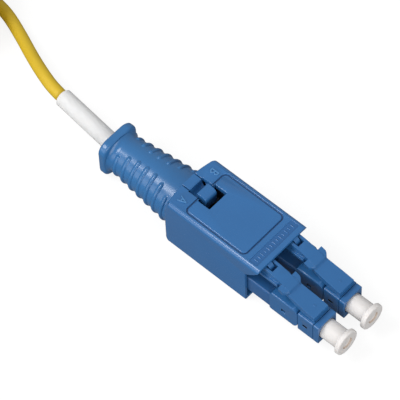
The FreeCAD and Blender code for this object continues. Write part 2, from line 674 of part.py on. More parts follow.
def make_cable_coil():
    """Hank of the spare length: two straight runs joined by two round folds."""
    x, y = HANK_FOLD
    pieces = []
    for fold_x, side in ((x, -1), (x - HANK_RUN, 1)):
        section = bundle_section(fold_x, y + side * HANK_MID_R)
        pieces.append(section.revolve(Vector(fold_x, y, 0), Vector(0, 0, 1), 180))
    for side in (-1, 1):
        pieces.append(bundle_section(x, y + side * HANK_MID_R).extrude(Vector(-HANK_RUN, 0, 0)))
    return pieces[0].fuse(pieces[1:]).removeSplitter()


def make_coil_tie():
    """Band round the middle of the run at the side away from the cable."""
    x = HANK_FOLD[0] - HANK_RUN / 2 + TIE_W / 2
    y = HANK_FOLD[1] - HANK_MID_R
    outside = bundle_section(x, y, TIE_THICK, 0.06).extrude(Vector(-TIE_W, 0, 0))
    inside = bundle_section(x + 1, y, 0.0, 0.06).extrude(Vector(-TIE_W - 2, 0, 0))
    return outside.cut(inside)


# ---- build and write ------------------------------------------------------


def all_nodes():
    nodes = {
        "outer_housing": make_outer_housing(),
        "pull_boot": make_pull_boot(),
        "inner_body": make_inner_body(),
        "inner_cover": make_inner_cover(),
        "lock_lever": make_lock_lever(),
        "crimp_ring": make_crimp_ring(),
        "cable_sleeve": make_cable_sleeve(),
        "cable_in_boot": make_cable_in_boot(),
        "cable_run": make_cable_run(),
        "cable_coil": make_cable_coil(),
        "coil_tie": make_coil_tie(),
    }
    makers = {
        "plug_frame": make_plug_frame,
        "plug_shell": make_plug_shell,
        "latch_ring": make_latch_ring,
        "latch_arm": make_latch_arm,
        "ferrule": make_ferrule,
        "ferrule_flange": make_ferrule_flange,
        "spring": make_spring,
        "spring_stop": make_spring_stop,
        "fibre": make_fibre,
        "dust_cap": make_dust_cap,
    }
    for name, maker in makers.items():
        for side, y in SIDES:
            nodes[f"{name}_{side}"] = maker(y)
    return nodes


os.makedirs("parts", exist_ok=True)
for name, shape in all_nodes().items():
    solids = shape.Solids
    if len(solids) != 1 or not shape.isValid():
        print("check", name, "solids", len(solids), "valid", shape.isValid())
    shape.exportStep(f"parts/{name}.step")
print("built")
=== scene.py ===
"""Duplex push-pull fibre connector with its boot, cable and dust caps.

Sizes are written in millimetres and multiplied by MM where they go into the scene. The
connector lies along X, its plugs towards +X, its top towards +Z.
"""

from __future__ import annotations

import logging
import math
from collections.abc import Iterator, Sequence
from contextlib import contextmanager
from dataclasses import dataclass, field
from enum import Enum

import bmesh
import bpy
import numpy as np
from bpy.types import Material, Mesh, Node, Object, World
from mathutils import Matrix, Vector

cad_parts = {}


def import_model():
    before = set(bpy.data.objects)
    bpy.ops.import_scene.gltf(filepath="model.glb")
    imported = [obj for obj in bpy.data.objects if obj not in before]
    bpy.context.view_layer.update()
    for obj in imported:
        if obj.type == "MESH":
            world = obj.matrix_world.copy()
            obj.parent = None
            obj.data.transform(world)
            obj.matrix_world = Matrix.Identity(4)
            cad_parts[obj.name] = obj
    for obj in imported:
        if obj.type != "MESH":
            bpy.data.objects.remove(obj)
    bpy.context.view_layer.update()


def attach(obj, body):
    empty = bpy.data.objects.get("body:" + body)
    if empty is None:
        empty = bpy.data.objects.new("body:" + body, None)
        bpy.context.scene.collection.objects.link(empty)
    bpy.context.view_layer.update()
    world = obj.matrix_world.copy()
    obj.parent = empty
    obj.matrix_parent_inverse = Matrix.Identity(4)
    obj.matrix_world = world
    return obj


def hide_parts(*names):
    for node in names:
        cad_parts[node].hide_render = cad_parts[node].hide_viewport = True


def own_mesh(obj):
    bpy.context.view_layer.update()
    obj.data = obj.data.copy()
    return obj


Pair = tuple[float, float]
Point = tuple[float, float, float]
Colour = tuple[float, float, float, float]
Shade = tuple[int, int, int]
"""Display values of red, green and blue, from 0 to 255."""

LOG = logging.getLogger("connector")
MM = 0.001
AXIS_Z = 4.43
"""Height of the plug, boot and cable axis above the bench, in millimetres."""
PLUG_Y = 3.125
"""Distance of each plug's axis from the middle, in millimetres."""
GRAIN_RELIEF = 2.0e-7
"""Depth of the finishes' grain, in metres."""
MILKY_REACH = (1.0, 0.95, 0.9)
"""How far red, green and blue light go inside milky plastic, as shares of its depth."""
SAME_PLACE = 5e-7
"""Points closer than this are one point, in metres."""
ARC_STEP = 0.2
"""Angle between the samples of a rounded corner, in radians."""


class Body(str, Enum):
    """Names of the bodies that new pieces ride on."""

    CARRIER = "carrier"
    HOUSING = "housing"
    LOCK = "lock"
    LATCH_A = "latch_a"
    LATCH_B = "latch_b"
    CAP_A = "cap_a"
    CAP_B = "cap_b"


class Effect(str, Enum):
    """Names of the shared node groups."""

    MOULDED_SKIN = "moulded_skin"
    TURNED_LINES = "turned_lines"
    FLOW_STREAKS = "flow_streaks"


def srgb(shade: Shade) -> Colour:
    """Turns a colour into linear values, by the sRGB curve.

    Args:
        shade: the display values.

    Returns:
        The linear values and an alpha of 1.
    """
    shares = np.array(shade) / 255.0
    linear = np.where(shares <= 0.04045, shares / 12.92, ((shares + 0.055) / 1.055) ** 2.4)
    return (*linear.tolist(), 1.0)


# ---- shared effects -------------------------------------------------------------------------


@dataclass
class NodeTree:
    """A node tree with short calls to add nodes and join them."""

    tree: bpy.types.NodeTree

    @classmethod
    def emptied(cls, owner: World | Material) -> NodeTree:
        """Turns on the nodes of a world or a material and clears them.

        Args:
            owner: the world or material.

        Returns:
            Its empty tree.
        """
        owner.use_nodes = True
        owner.node_tree.nodes.clear()
        return cls(owner.node_tree)

    def settle(self, node: Node, **values: object) -> Node:
        """Sets values of a node.

        Args:
            node: the node.
            **values: socket values by name with spaces as underscores, or node properties.

        Returns:
            The same node.
        """
        for name, value in values.items():
            socket = node.inputs.get(name.replace("_", " "))
            if socket is not None:
                socket.default_value = value
            else:
                setattr(node, name, value)
        return node

    def add(self, kind: str, **values: object) -> Node:
        """Adds a node of the type ShaderNode + kind, with values as in settle."""
        return self.settle(self.tree.nodes.new(f"ShaderNode{kind}"), **values)

    def add_mix(self, first: Colour, second: Colour) -> Node:
        """Adds a mix of two colours.

        Args:
            first: the colour at factor 0.
            second: the colour at factor 1.

        Returns:
            The new node: its factor is input 0 and its colour is output 2.
        """
        node = self.add("Mix", data_type="RGBA")
        node.inputs[6].default_value, node.inputs[7].default_value = first, second
        return node

    def join(self, source: Node, output: str | int, target: Node, entry: str | int) -> None:
        """Joins an output of one node to an input of another."""
        self.tree.links.new(source.outputs[output], target.inputs[entry])


def new_group(effect: Effect, inputs: dict[str, float], outputs: tuple[str, ...]) -> NodeTree:
    """Makes an empty node group with number sockets and its two end nodes.

    Args:
        effect: the group's name.
        inputs: input names with their default values.
        outputs: output names.

    Returns:
        The group's tree; its end nodes are named "in" and "out".
    """
    tree = bpy.data.node_groups.new(effect.value, "ShaderNodeTree")
    for name, value in inputs.items():
        socket = tree.interface.new_socket(name, in_out="INPUT", socket_type="NodeSocketFloat")
        socket.default_value = value
    for name in outputs:
        tree.interface.new_socket(name, in_out="OUTPUT", socket_type="NodeSocketFloat")
    tree.nodes.new("NodeGroupInput").name = "in"
    tree.nodes.new("NodeGroupOutput").name = "out"
    return NodeTree(tree)


def build_moulded_skin() -> None:
    """Fine grain of a moulded part: broad tone drift, small specks and a height for bump."""
    kit = new_group(
        Effect.MOULDED_SKIN,
        {"Broad Scale": 220.0, "Fine Scale": 9000.0},
        ("Drift", "Speck", "Height"),
    )
    ends = kit.tree.nodes
    place = kit.add("TexCoord")
    broad = kit.add("TexNoise", Detail=3.0, Roughness=0.55)
    fine = kit.add("TexNoise", Detail=2.0, Roughness=0.5)
    dimple = kit.add("TexVoronoi", feature="SMOOTH_F1", Smoothness=0.6)
    for node, name in ((broad, "Broad Scale"), (fine, "Fine Scale"), (dimple, "Fine Scale")):
        kit.join(place, "Object", node, "Vector")
        kit.join(ends["in"], name, node, "Scale")
    blend = kit.add("Math", operation="MULTIPLY_ADD")
    blend.inputs[1].default_value = 0.5
    kit.join(dimple, "Distance", blend, 0)
    kit.join(fine, "Fac", blend, 2)
    kit.join(broad, "Fac", ends["out"], "Drift")
    kit.join(fine, "Fac", ends["out"], "Speck")
    kit.join(blend, 0, ends["out"], "Height")


def build_turned_lines() -> None:
    """Fine rings left by turning: a wave along X, broken up by noise."""
    kit = new_group(Effect.TURNED_LINES, {"Scale": 3000.0}, ("Line", "Height"))
    ends = kit.tree.nodes
    place = kit.add("TexCoord")
    wave = kit.add("TexWave", wave_type="BANDS", bands_direction="X", Distortion=1.2, Detail=2.0)
    kit.join(place, "Object", wave, "Vector")
    kit.join(ends["in"], "Scale", wave, "Scale")
    kit.join(wave, "Fac", ends["out"], "Line")
    kit.join(wave, "Fac", ends["out"], "Height")


def build_flow_streaks() -> None:
    """Streaks of an extruded jacket: noise stretched along X."""
    kit = new_group(Effect.FLOW_STREAKS, {"Scale": 1500.0}, ("Streak", "Height"))
    ends = kit.tree.nodes
    place = kit.add("TexCoord")
    stretch = kit.add("Mapping", Scale=(0.06, 1.0, 1.0))
    noise = kit.add("TexNoise", Detail=3.0)
    kit.join(place, "Object", stretch, "Vector")
    kit.join(stretch, "Vector", noise, "Vector")
    kit.join(ends["in"], "Scale", noise, "Scale")
    kit.join(noise, "Fac", ends["out"], "Streak")
    kit.join(noise, "Fac", ends["out"], "Height")


# ---- finishes -------------------------------------------------------------------------------


@dataclass(frozen=True)
class Finish:
    """One finish of the connector.

    Attributes:
        name: the material's name.
        light: the colour where the surface is lightest.
        deep: the colour it drifts to.
        roughness: lowest and highest roughness.
        effect: the node group that varies it.
        scales: the group's input values by name.
        metallic: 1 for bare metal.
        subsurface: weight of light scattered inside, for milky plastics.
        depth: how far that light goes, in metres.
    """

    name: str
    light: Shade
    deep: Shade
    roughness: Pair
    effect: Effect = Effect.MOULDED_SKIN
    scales: dict[str, float] = field(default_factory=dict)
    metallic: float = 0.0
    subsurface: float = 0.0
    depth: float = 0.0006

    def material(self) -> Material:
        """Builds the material, unless it is already there.

        Returns:
            The material.
        """
        title = f"{self.name}_finish"
        known = bpy.data.materials.get(title)
        if known is not None:
            return known
        made = bpy.data.materials.new(title)
        made.use_nodes = True
        kit = NodeTree(made.node_tree)
        shader = made.node_tree.nodes["Principled BSDF"]
        kit.settle(
            shader, Metallic=self.metallic, Subsurface_Weight=self.subsurface,
            Subsurface_Radius=MILKY_REACH, Subsurface_Scale=self.depth,
        )
        effect = kit.add("Group")
        effect.node_tree = bpy.data.node_groups[self.effect.value]
        for name, value in self.scales.items():
            effect.inputs[name].default_value = value
        tone = "Speck" if self.effect is Effect.MOULDED_SKIN else 0
        colour = kit.add_mix(srgb(self.light), srgb(self.deep))
        kit.join(effect, 0, colour, 0)
        kit.join(colour, 2, shader, "Base Color")
        # The middle half of the effect's values covers the whole range of roughness.
        rough = kit.add(
            "MapRange", From_Min=0.25, From_Max=0.75,
            To_Min=self.roughness[0], To_Max=self.roughness[1],
        )
        kit.join(effect, tone, rough, "Value")
        kit.join(rough, "Result", shader, "Roughness")
        bump = kit.add("Bump", Strength=0.5, Distance=GRAIN_RELIEF)
        kit.join(effect, "Height", bump, "Height")
        kit.join(bump, "Normal", shader, "Normal")
        return made


SHELL_BLUE = Finish("shell_blue", (47, 104, 160), (44, 98, 153), (0.23, 0.28))
BOOT_BLUE = Finish("boot_blue", (50, 109, 163), (47, 103, 157), (0.23, 0.27))
PLUG_BLUE = Finish("plug_blue", (44, 101, 156), (40, 94, 148), (0.28, 0.33))
INNER_BLUE = Finish("inner_blue", (40, 92, 146), (37, 84, 137), (0.28, 0.34))
LEVER_BLUE = Finish("lever_blue", (47, 104, 160), (44, 98, 153), (0.23, 0.28))
# Lighter blue of the raised letters: a painted highlight on strokes of the shell's own plastic.
LETTER_HIGHLIGHT_BLUE = Finish("letter_highlight_blue", (70, 126, 178), (66, 120, 172), (0.3, 0.36))
# Darker blue of the panel groove's floor: painted shade in the groove.
GROOVE_SHADE_BLUE = Finish("groove_shade_blue", (30, 72, 118), (27, 67, 112), (0.34, 0.4))
# Slightly darker blue of the front recess's floor: painted shade in the recess.
STRIP_SHADE_BLUE = Finish("strip_shade_blue", (41, 95, 151), (38, 89, 144), (0.26, 0.32))
# Near-black blue: painted shade on faces deep in holes, where little light comes back.
CAVITY_SHADE_BLUE = Finish("cavity_shade_blue", (15, 27, 44), (11, 21, 36), (0.4, 0.5))
CAP_WHITE = Finish(
    "cap_white", (222, 219, 217), (217, 213, 211), (0.5, 0.6), subsurface=0.4, depth=0.0008
)
# Darker, warmer colour of the caps' dish wall: painted shade in the dish.
CAP_DISH_SHADE = Finish("cap_dish_shade", (204, 188, 174), (197, 181, 167), (0.35, 0.45))
SLEEVE_WHITE = Finish(
    "sleeve_white", (229, 228, 227), (225, 224, 223), (0.65, 0.75),
    subsurface=0.7, depth=0.0015,
)
JACKET_YELLOW = Finish(
    "jacket_yellow", (211, 179, 36), (203, 169, 29), (0.55, 0.65), Effect.FLOW_STREAKS
)
TIE_BLACK = Finish("tie_black", (38, 38, 40), (28, 28, 30), (0.55, 0.7))
CERAMIC = Finish("ceramic", (244, 242, 236), (238, 235, 228), (0.12, 0.2))
FLANGE_METAL = Finish(
    "flange_metal", (208, 206, 202), (190, 188, 184), (0.24, 0.38),
    Effect.TURNED_LINES, metallic=1.0,
)
SPRING_STEEL = Finish(
    "spring_steel", (200, 200, 199), (176, 176, 176), (0.22, 0.34),
    Effect.TURNED_LINES, metallic=1.0,
)
CRIMP_METAL = Finish(
    "crimp_metal", (222, 222, 223), (202, 202, 204), (0.28, 0.42),
    Effect.TURNED_LINES, {"Scale": 2200.0}, metallic=1.0,
)
FIBRE_BUFFER = Finish("fibre_buffer", (240, 240, 232), (232, 232, 222), (0.3, 0.4))

KEPT_NODES = {
    "crimp_ring": CRIMP_METAL,
    "cable_in_boot": JACKET_YELLOW,
    **{
        f"{stem}_{letter}": finish
        for stem, finish in (
            ("spring_stop", INNER_BLUE), ("fibre", FIBRE_BUFFER), ("ferrule", CERAMIC),
            ("ferrule_flange", FLANGE_METAL),
        )
        for letter in "ab"
    },
}
"""Inner parts whose solids stay as they are, with the finish of each."""


# ---- mesh helpers ---------------------------------------------------------------------------


def place_piece(piece: Object, body: Body, finish: Finish, slot: str, *nodes: str) -> Object:
    """Gives a piece its finish and its body, and hides the solids it stands for.

    Args:
        piece: the finished object, at the origin.
        body: the body it moves with.
        finish: its finish.
        slot: the record's material slot; not used.
        *nodes: the solids it replaces.

    Returns:
        The same object.
    """
    piece.data.materials.clear()
    piece.data.materials.append(finish.material())
    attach(piece, body.value)
    if nodes:
        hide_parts(*nodes)
    LOG.info("%s rides on %s", piece.name, body.value)
    return piece


def link_object(name: str, data: bpy.types.ID) -> Object:
    """Makes an object and links it to the scene.

    Args:
        name: the object's name.
        data: its mesh, curve, light or camera.

    Returns:
        The linked object.
    """
    made = bpy.data.objects.new(name, data)
    bpy.context.scene.collection.objects.link(made)
    return made


def read_rows(
    items: bpy.types.bpy_prop_collection, name: str, width: int, kind: type = np.float32
) -> np.ndarray:
    """Reads one property of all faces, edges, loops or points of a mesh.

    Args:
        items: the mesh's faces, edges, loops or points.
        name: the property's name.
        width: how many numbers each item has.
        kind: the numbers' type.

    Returns:
        One row for each item.
    """
    values = np.empty(len(items) * width, dtype=kind)
    items.foreach_get(name, values)
    return values.reshape(-1, width)


def smooth_faces(mesh: Mesh) -> None:
    """Makes all faces of a mesh smooth."""
    mesh.polygons.foreach_set("use_smooth", np.ones(len(mesh.polygons), dtype=bool))


def together(*parts: np.ndarray) -> np.ndarray:
    """Joins coordinates, each stretched to the shape of all, into places."""
    return np.stack(np.broadcast_arrays(*parts), axis=-1)


def around(radius: np.ndarray, angle: np.ndarray) -> np.ndarray:
    """Places at a radius and an angle round an axis along X: (r cos a, r sin a)."""
    return together(radius * np.cos(angle), radius * np.sin(angle))


def full_turn(columns: int) -> np.ndarray:
    """Even angles round a full turn, as one row."""
    return np.linspace(0, 2 * np.pi, columns, endpoint=False)[None, :]


def grid_object(name: str, points: np.ndarray, close_rows: bool, flip: bool) -> Object:
    """Makes a smooth mesh of a grid of points that closes round its second direction.

    Vertex (i, j) is point i along the profile and j round the piece; each face joins
    (i, j), (i, j+1), (i+1, j+1) and (i+1, j), with j taken round the end.

    Args:
        name: the object's name.
        points: array of rows x columns x 3, or of copies of one, in metres.
        close_rows: whether the last row joins the first.
        flip: whether the faces are turned over.

    Returns:
        The linked object.
    """
    copies = points.reshape(-1, *points.shape[-3:])
    rows, columns = copies.shape[1:3]
    i = np.arange(rows if close_rows else rows - 1)[:, None]
    j = np.arange(columns)[None, :]
    nxt_i, nxt_j = (i + 1) % rows, (j + 1) % columns
    quads = together(
        i * columns + j, i * columns + nxt_j, nxt_i * columns + nxt_j, nxt_i * columns + j
    ).reshape(1, -1, 4)
    quads = (quads + np.arange(len(copies))[:, None, None] * rows * columns).reshape(-1, 4)
    if flip:
        quads = quads[:, ::-1]
    mesh = bpy.data.meshes.new(name)
    mesh.vertices.add(len(copies) * rows * columns)
    mesh.vertices.foreach_set("co", points.reshape(-1).astype(np.float32))
    mesh.loops.add(quads.size)
    mesh.loops.foreach_set("vertex_index", quads.reshape(-1).astype(np.int32))
    mesh.polygons.add(len(quads))
    mesh.polygons.foreach_set("loop_start", np.arange(0, quads.size, 4, dtype=np.int32))
    smooth_faces(mesh)
    mesh.update(calc_edges=True)
    mesh.validate()
    return link_object(name, mesh)


@contextmanager
def edited(mesh: Mesh) -> Iterator[bmesh.types.BMesh]:
    """Opens a mesh for edits of its faces and edges, and writes them back.

    Args:
        mesh: the mesh to edit.

    Yields:
        The open mesh.
    """
    shape = bmesh.new()
    shape.from_mesh(mesh)
    yield shape
    shape.to_mesh(mesh)
    shape.free()


def weld(mesh: Mesh) -> None:
    """Joins the points of a mesh that lie on each other."""
    with edited(mesh) as shape:
        bmesh.ops.remove_doubles(shape, verts=shape.verts, dist=SAME_PLACE)


def cap_open_rows(mesh: Mesh) -> None:
    """Closes the small open ends of a grid and turns all faces outwards.

    Args:
        mesh: the grid's mesh.
    """
    with edited(mesh) as shape:
        rims = [edge for edge in shape.edges if edge.is_boundary]
        bmesh.ops.holes_fill(shape, edges=rims, sides=0)
        bmesh.ops.recalc_face_normals(shape, faces=shape.faces)


def rounded_profile(corners: Sequence[Point], step: float) -> np.ndarray:
    """Rounds the corners of a closed profile and samples it.

    Each corner (x, r, radius) is replaced by an arc tangent to its two sides; the straight
    parts between arcs are divided so that no step is longer than step.

    Args:
        corners: closed row of corners with the radius of each, in millimetres.
        step: longest distance between samples on a straight part.

    Returns:
        Samples as an array of n x 2.
    """
    places = np.array([c[:2] for c in corners], float)
    radii = np.array([c[2] for c in corners], float)
    before = np.roll(places, 1, axis=0) - places
    after = np.roll(places, -1, axis=0) - places
    before /= np.linalg.norm(before, axis=1)[:, None]
    after /= np.linalg.norm(after, axis=1)[:, None]
    half = np.arccos(np.clip((before * after).sum(1), -1, 1)) / 2
    reach = radii / np.maximum(np.tan(half), 1e-9)
    middle = before + after
    middle /= np.maximum(np.linalg.norm(middle, axis=1)[:, None], 1e-9)
    centres = places + middle * (radii / np.maximum(np.sin(half), 1e-9))[:, None]
    parts = []
    for k in range(len(places)):
        if radii[k] <= 0:
            arc = places[k][None, :]
        else:
            start = places[k] + before[k] * reach[k] - centres[k]
            end = places[k] + after[k] * reach[k] - centres[k]
            turn = np.arctan2(start[0] * end[1] - start[1] * end[0], start @ end)
            share = np.linspace(0, 1, max(4, int(abs(turn) / ARC_STEP)))[:, None] * turn
            across = np.array([-start[1], start[0]])
            arc = centres[k] + start * np.cos(share) + across * np.sin(share)
        parts.append(arc)
    samples = []
    for part, following in zip(parts, parts[1:] + parts[:1]):
        first, last = part[-1], following[0]
        count = int(np.linalg.norm(last - first) / step)
        share = np.linspace(0, 1, count + 2)[1:-1, None]
        samples += [part, first + (last - first) * share]
    return np.concatenate(samples)


def turned_piece(name: str, profile: np.ndarray, centre_y: float, columns: int) -> Object:
    """Turns a closed profile round an axis along X.

    Point (i, j) is (x_i, y + r_i cos a_j, z + r_i sin a_j).

    Args:
        name: the object's name.
        profile: closed samples (x, r), in millimetres, anticlockwise with r upwards.
        centre_y: the axis's y, in millimetres.
        columns: points round the axis.

    Returns:
        The linked object.
    """
    y, z = np.moveaxis(around(profile[:, 1:2], full_turn(columns)), -1, 0)
    points = together(profile[:, :1], centre_y + y, AXIS_Z + z)
    return grid_object(name, points * MM, True, False)


def edge_turns(mesh: Mesh) -> tuple[np.ndarray, np.ndarray]:
    """Finds how sharply a closed mesh turns at each edge, and which way.

    The turn is the angle between the two faces' normals. An edge is convex where the second
    face's centre lies behind the first face's plane.

    Args:
        mesh: a closed mesh, two faces at every edge.

    Returns:
        The turn at each edge in radians, and whether the edge is convex.
    """
    edges = read_rows(mesh.loops, "edge_index", 1, np.int32).ravel()
    totals = read_rows(mesh.polygons, "loop_total", 1, np.int32).ravel()
    normals = read_rows(mesh.polygons, "normal", 3)
    centres = read_rows(mesh.polygons, "center", 3)
    owner = np.repeat(np.arange(len(totals)), totals)
    pairs = owner[np.argsort(edges, kind="stable")].reshape(-1, 2)
    first, second = normals[pairs[:, 0]], normals[pairs[:, 1]]
    turn = np.arccos(np.clip((first * second).sum(1), -1, 1))
    convex = ((centres[pairs[:, 1]] - centres[pairs[:, 0]]) * first).sum(1) < 0
    return turn, convex


def edge_middles(mesh: Mesh) -> np.ndarray:
    """Middle of each edge, in millimetres."""
    ends = read_rows(mesh.edges, "vertices", 2, np.int32)
    return read_rows(mesh.vertices, "co", 3)[ends].mean(1) / MM


@dataclass(frozen=True)
class Zone:
    """A box in space.

    Attributes:
        low, high: its corners, in millimetres.
    """

    low: Point
    high: Point

    def holds(self, places: np.ndarray) -> np.ndarray:
        """Tells which places, rows of x, y and z, are inside."""
        return ((places > self.low) & (places < self.high)).all(1)


@dataclass(frozen=True)
class ShadedCavity(Zone):
    """A deep or sunken place of a solid whose faces get a darker finish of their own: painted
    shade.

    Attributes:
        finish: the darker finish, painted shade, of the faces whose middles are in the zone.
    """

    # By default the near-black painted shade of a deep hole.
    finish: Finish = CAVITY_SHADE_BLUE


@dataclass(frozen=True)
class Rounding(Zone):
    """A zone of a solid whose outer edges are rounded by their own width.

    Attributes:
        width: rounding width of the zone's convex edges; concave ones get a quarter.
    """

    width: float = 0.1


# ---- studio ---------------------------------------------------------------------------------


@dataclass(frozen=True)
class SoftBox:
    """A rectangular light that looks at the connector.

    Attributes:
        name: the light's name.
        towards: direction from the connector to the light.
        distance: how far away it is, in metres.
        size: its two sides, in metres.
        power: its power in watts.
    """

    name: str
    towards: Point
    distance: float
    size: Pair
    power: float

    def add(self, aim: Vector) -> None:
        """Adds the light.

        Args:
            aim: the place it looks at, in metres.
        """
        data = bpy.data.lights.new(self.name, "AREA")
        data.shape = "RECTANGLE"
        data.size, data.size_y = self.size
        data.energy = self.power
        light = link_object(self.name, data)
        direction = Vector(self.towards).normalized()
        light.location = aim + direction * self.distance
        light.rotation_euler = direction.to_track_quat("Z", "Y").to_euler()


@dataclass
class Studio:
    """Camera, floor and lights.

    Attributes:
        eye: the camera's place, in millimetres.
        azimuth, elevation, roll: its direction, in degrees.
        lens, sensor: focal length and sensor width, in millimetres.
        glossy_share: how much of the white background glossy rays see.
        ambient: strength of the even light from all round.
        floor_half, floor_drop: the floor's half side and how low it lies, in metres.
        floor_tones: its two greys.
        floor_glow: what it adds to look near white.
        aim: the place the lights look at, in millimetres.
        boxes: the lights.
    """

    eye: Point = (176.8524, -185.7716, 408.7536)
    azimuth: float = 44.5969
    elevation: float = 56.9629
    roll: float = 2.7740
    lens: float = 265.86
    sensor: float = 36.0
    glossy_share: float = 0.1
    ambient: float = 0.47
    floor_half: float = 3.0
    floor_drop: float = 0.00002
    floor_tones: Pair = (0.16, 0.17)
    floor_glow: float = 0.86
    aim: Point = (-3.0, 0.0, 6.0)
    boxes: tuple[SoftBox, ...] = (
        SoftBox("key", (-0.383, -0.421, 0.822), 0.9, (0.4, 0.34), 4.3),
        SoftBox("side", (-0.25, -0.95, 0.35), 1.0, (1.2, 0.5), 3.5),
        SoftBox("fill", (0.9, -0.28, 0.33), 1.0, (0.9, 0.6), 5.4),
    )

    def axes(self) -> tuple[np.ndarray, np.ndarray, np.ndarray]:
        """Works out the camera's directions from its three angles.

        Returns:
            Its right, up and back directions.
        """
        azimuth, elevation, roll = np.radians([self.azimuth, self.elevation, self.roll])
        right = np.array([math.cos(azimuth), math.sin(azimuth), 0.0])
        level = np.array([math.sin(azimuth), -math.cos(azimuth), 0.0])
        back = level * math.cos(elevation) + np.array([0.0, 0.0, math.sin(elevation)])
        up = np.cross(back, right)
        turned = math.cos(roll) * right - math.sin(roll) * up
        return turned, math.sin(roll) * right + math.cos(roll) * up, back

    def add_camera(self) -> None:
        """Adds the camera and makes it the scene's."""
        data = bpy.data.cameras.new("camera")
        data.lens = self.lens
        data.sensor_width = self.sensor
        data.clip_start = 0.02
        data.clip_end = 20.0
        camera = link_object("camera", data)
        right, up, back = self.axes()
        place = Matrix(np.column_stack([right, up, back]).tolist()).to_4x4()
        place.translation = Vector(self.eye) * MM
        camera.matrix_world = place
        bpy.context.scene.camera = camera

    def background_seen(self, kit: NodeTree) -> Node:
        """Adds the share of the white background that a ray sees.

        Camera and transmission rays see all of it, and glossy rays a part: the sides are seen
        at a low angle, where a full white floor would hide their colour.

        Args:
            kit: the tree of the world or of the floor.

        Returns:
            The node that gives the share, from 0 to 1.
        """
        path = kit.add("LightPath")
        glossy = kit.add("Math", operation="MULTIPLY_ADD")
        glossy.inputs[1].default_value = self.glossy_share
        total = kit.add("Math", operation="ADD")
        total.use_clamp = True
        kit.join(path, "Is Glossy Ray", glossy, 0)
        kit.join(path, "Is Camera Ray", glossy, 2)
        kit.join(glossy, 0, total, 0)
        kit.join(path, "Is Transmission Ray", total, 1)
        return total

    def add_world(self) -> None:
        """Adds the even white light from all round, and white where the camera looks past."""
        world = bpy.data.worlds.new("studio")
        bpy.context.scene.world = world
        kit = NodeTree.emptied(world)
        white = (1.0, 1.0, 1.0, 1.0)
        ambient = kit.add("Background", Strength=self.ambient, Color=white)
        shown = kit.add("Background", Strength=1.0, Color=white)
        mix = kit.add("MixShader")
        output = kit.add("OutputWorld")
        kit.join(self.background_seen(kit), 0, mix, 0)
        kit.join(ambient, 0, mix, 1)
        kit.join(shown, 0, mix, 2)
        kit.join(mix, 0, output, 0)

    def add_floor(self) -> None:
        """Adds the pale floor: it takes the soft shadow and looks near white."""
        mesh = bpy.data.meshes.new("floor")
        half, low = self.floor_half, -self.floor_drop
        corners = [(-half, -half, low), (half, -half, low), (half, half, low), (-half, half, low)]
        mesh.from_pydata(corners, [], [(0, 1, 2, 3)])
        floor = link_object("floor", mesh)
        made = bpy.data.materials.new("floor_white")
        kit = NodeTree.emptied(made)
        place = kit.add("TexCoord")
        drift = kit.add("TexNoise", Scale=3.0, Detail=1.0)
        tone = kit.add_mix(*((grey, grey, grey, 1.0) for grey in self.floor_tones))
        matt = kit.add("BsdfDiffuse")
        glow = kit.add("Emission", Strength=self.floor_glow)
        both = kit.add("AddShader")
        pick = kit.add("MixShader")
        output = kit.add("OutputMaterial")
        kit.join(place, "Object", drift, "Vector")
        kit.join(drift, "Fac", tone, 0)
        kit.join(tone, 2, matt, "Color")
        kit.join(matt, 0, both, 0)
        kit.join(glow, 0, both, 1)
        kit.join(self.background_seen(kit), 0, pick, 0)
        kit.join(matt, 0, pick, 1)
        kit.join(both, 0, pick, 2)
        kit.join(pick, 0, output, 0)
        mesh.materials.append(made)

    def build(self) -> None:
        """Sets the colour transform, then adds the camera, world, floor and lights."""
        scene = bpy.context.scene
        scene.view_settings.view_transform = "Standard"
        self.add_camera()
        self.add_world()
        self.add_floor()
        for box in self.boxes:
            box.add(Vector(self.aim) * MM)


# ---- cable ----------------------------------------------------------------------------------


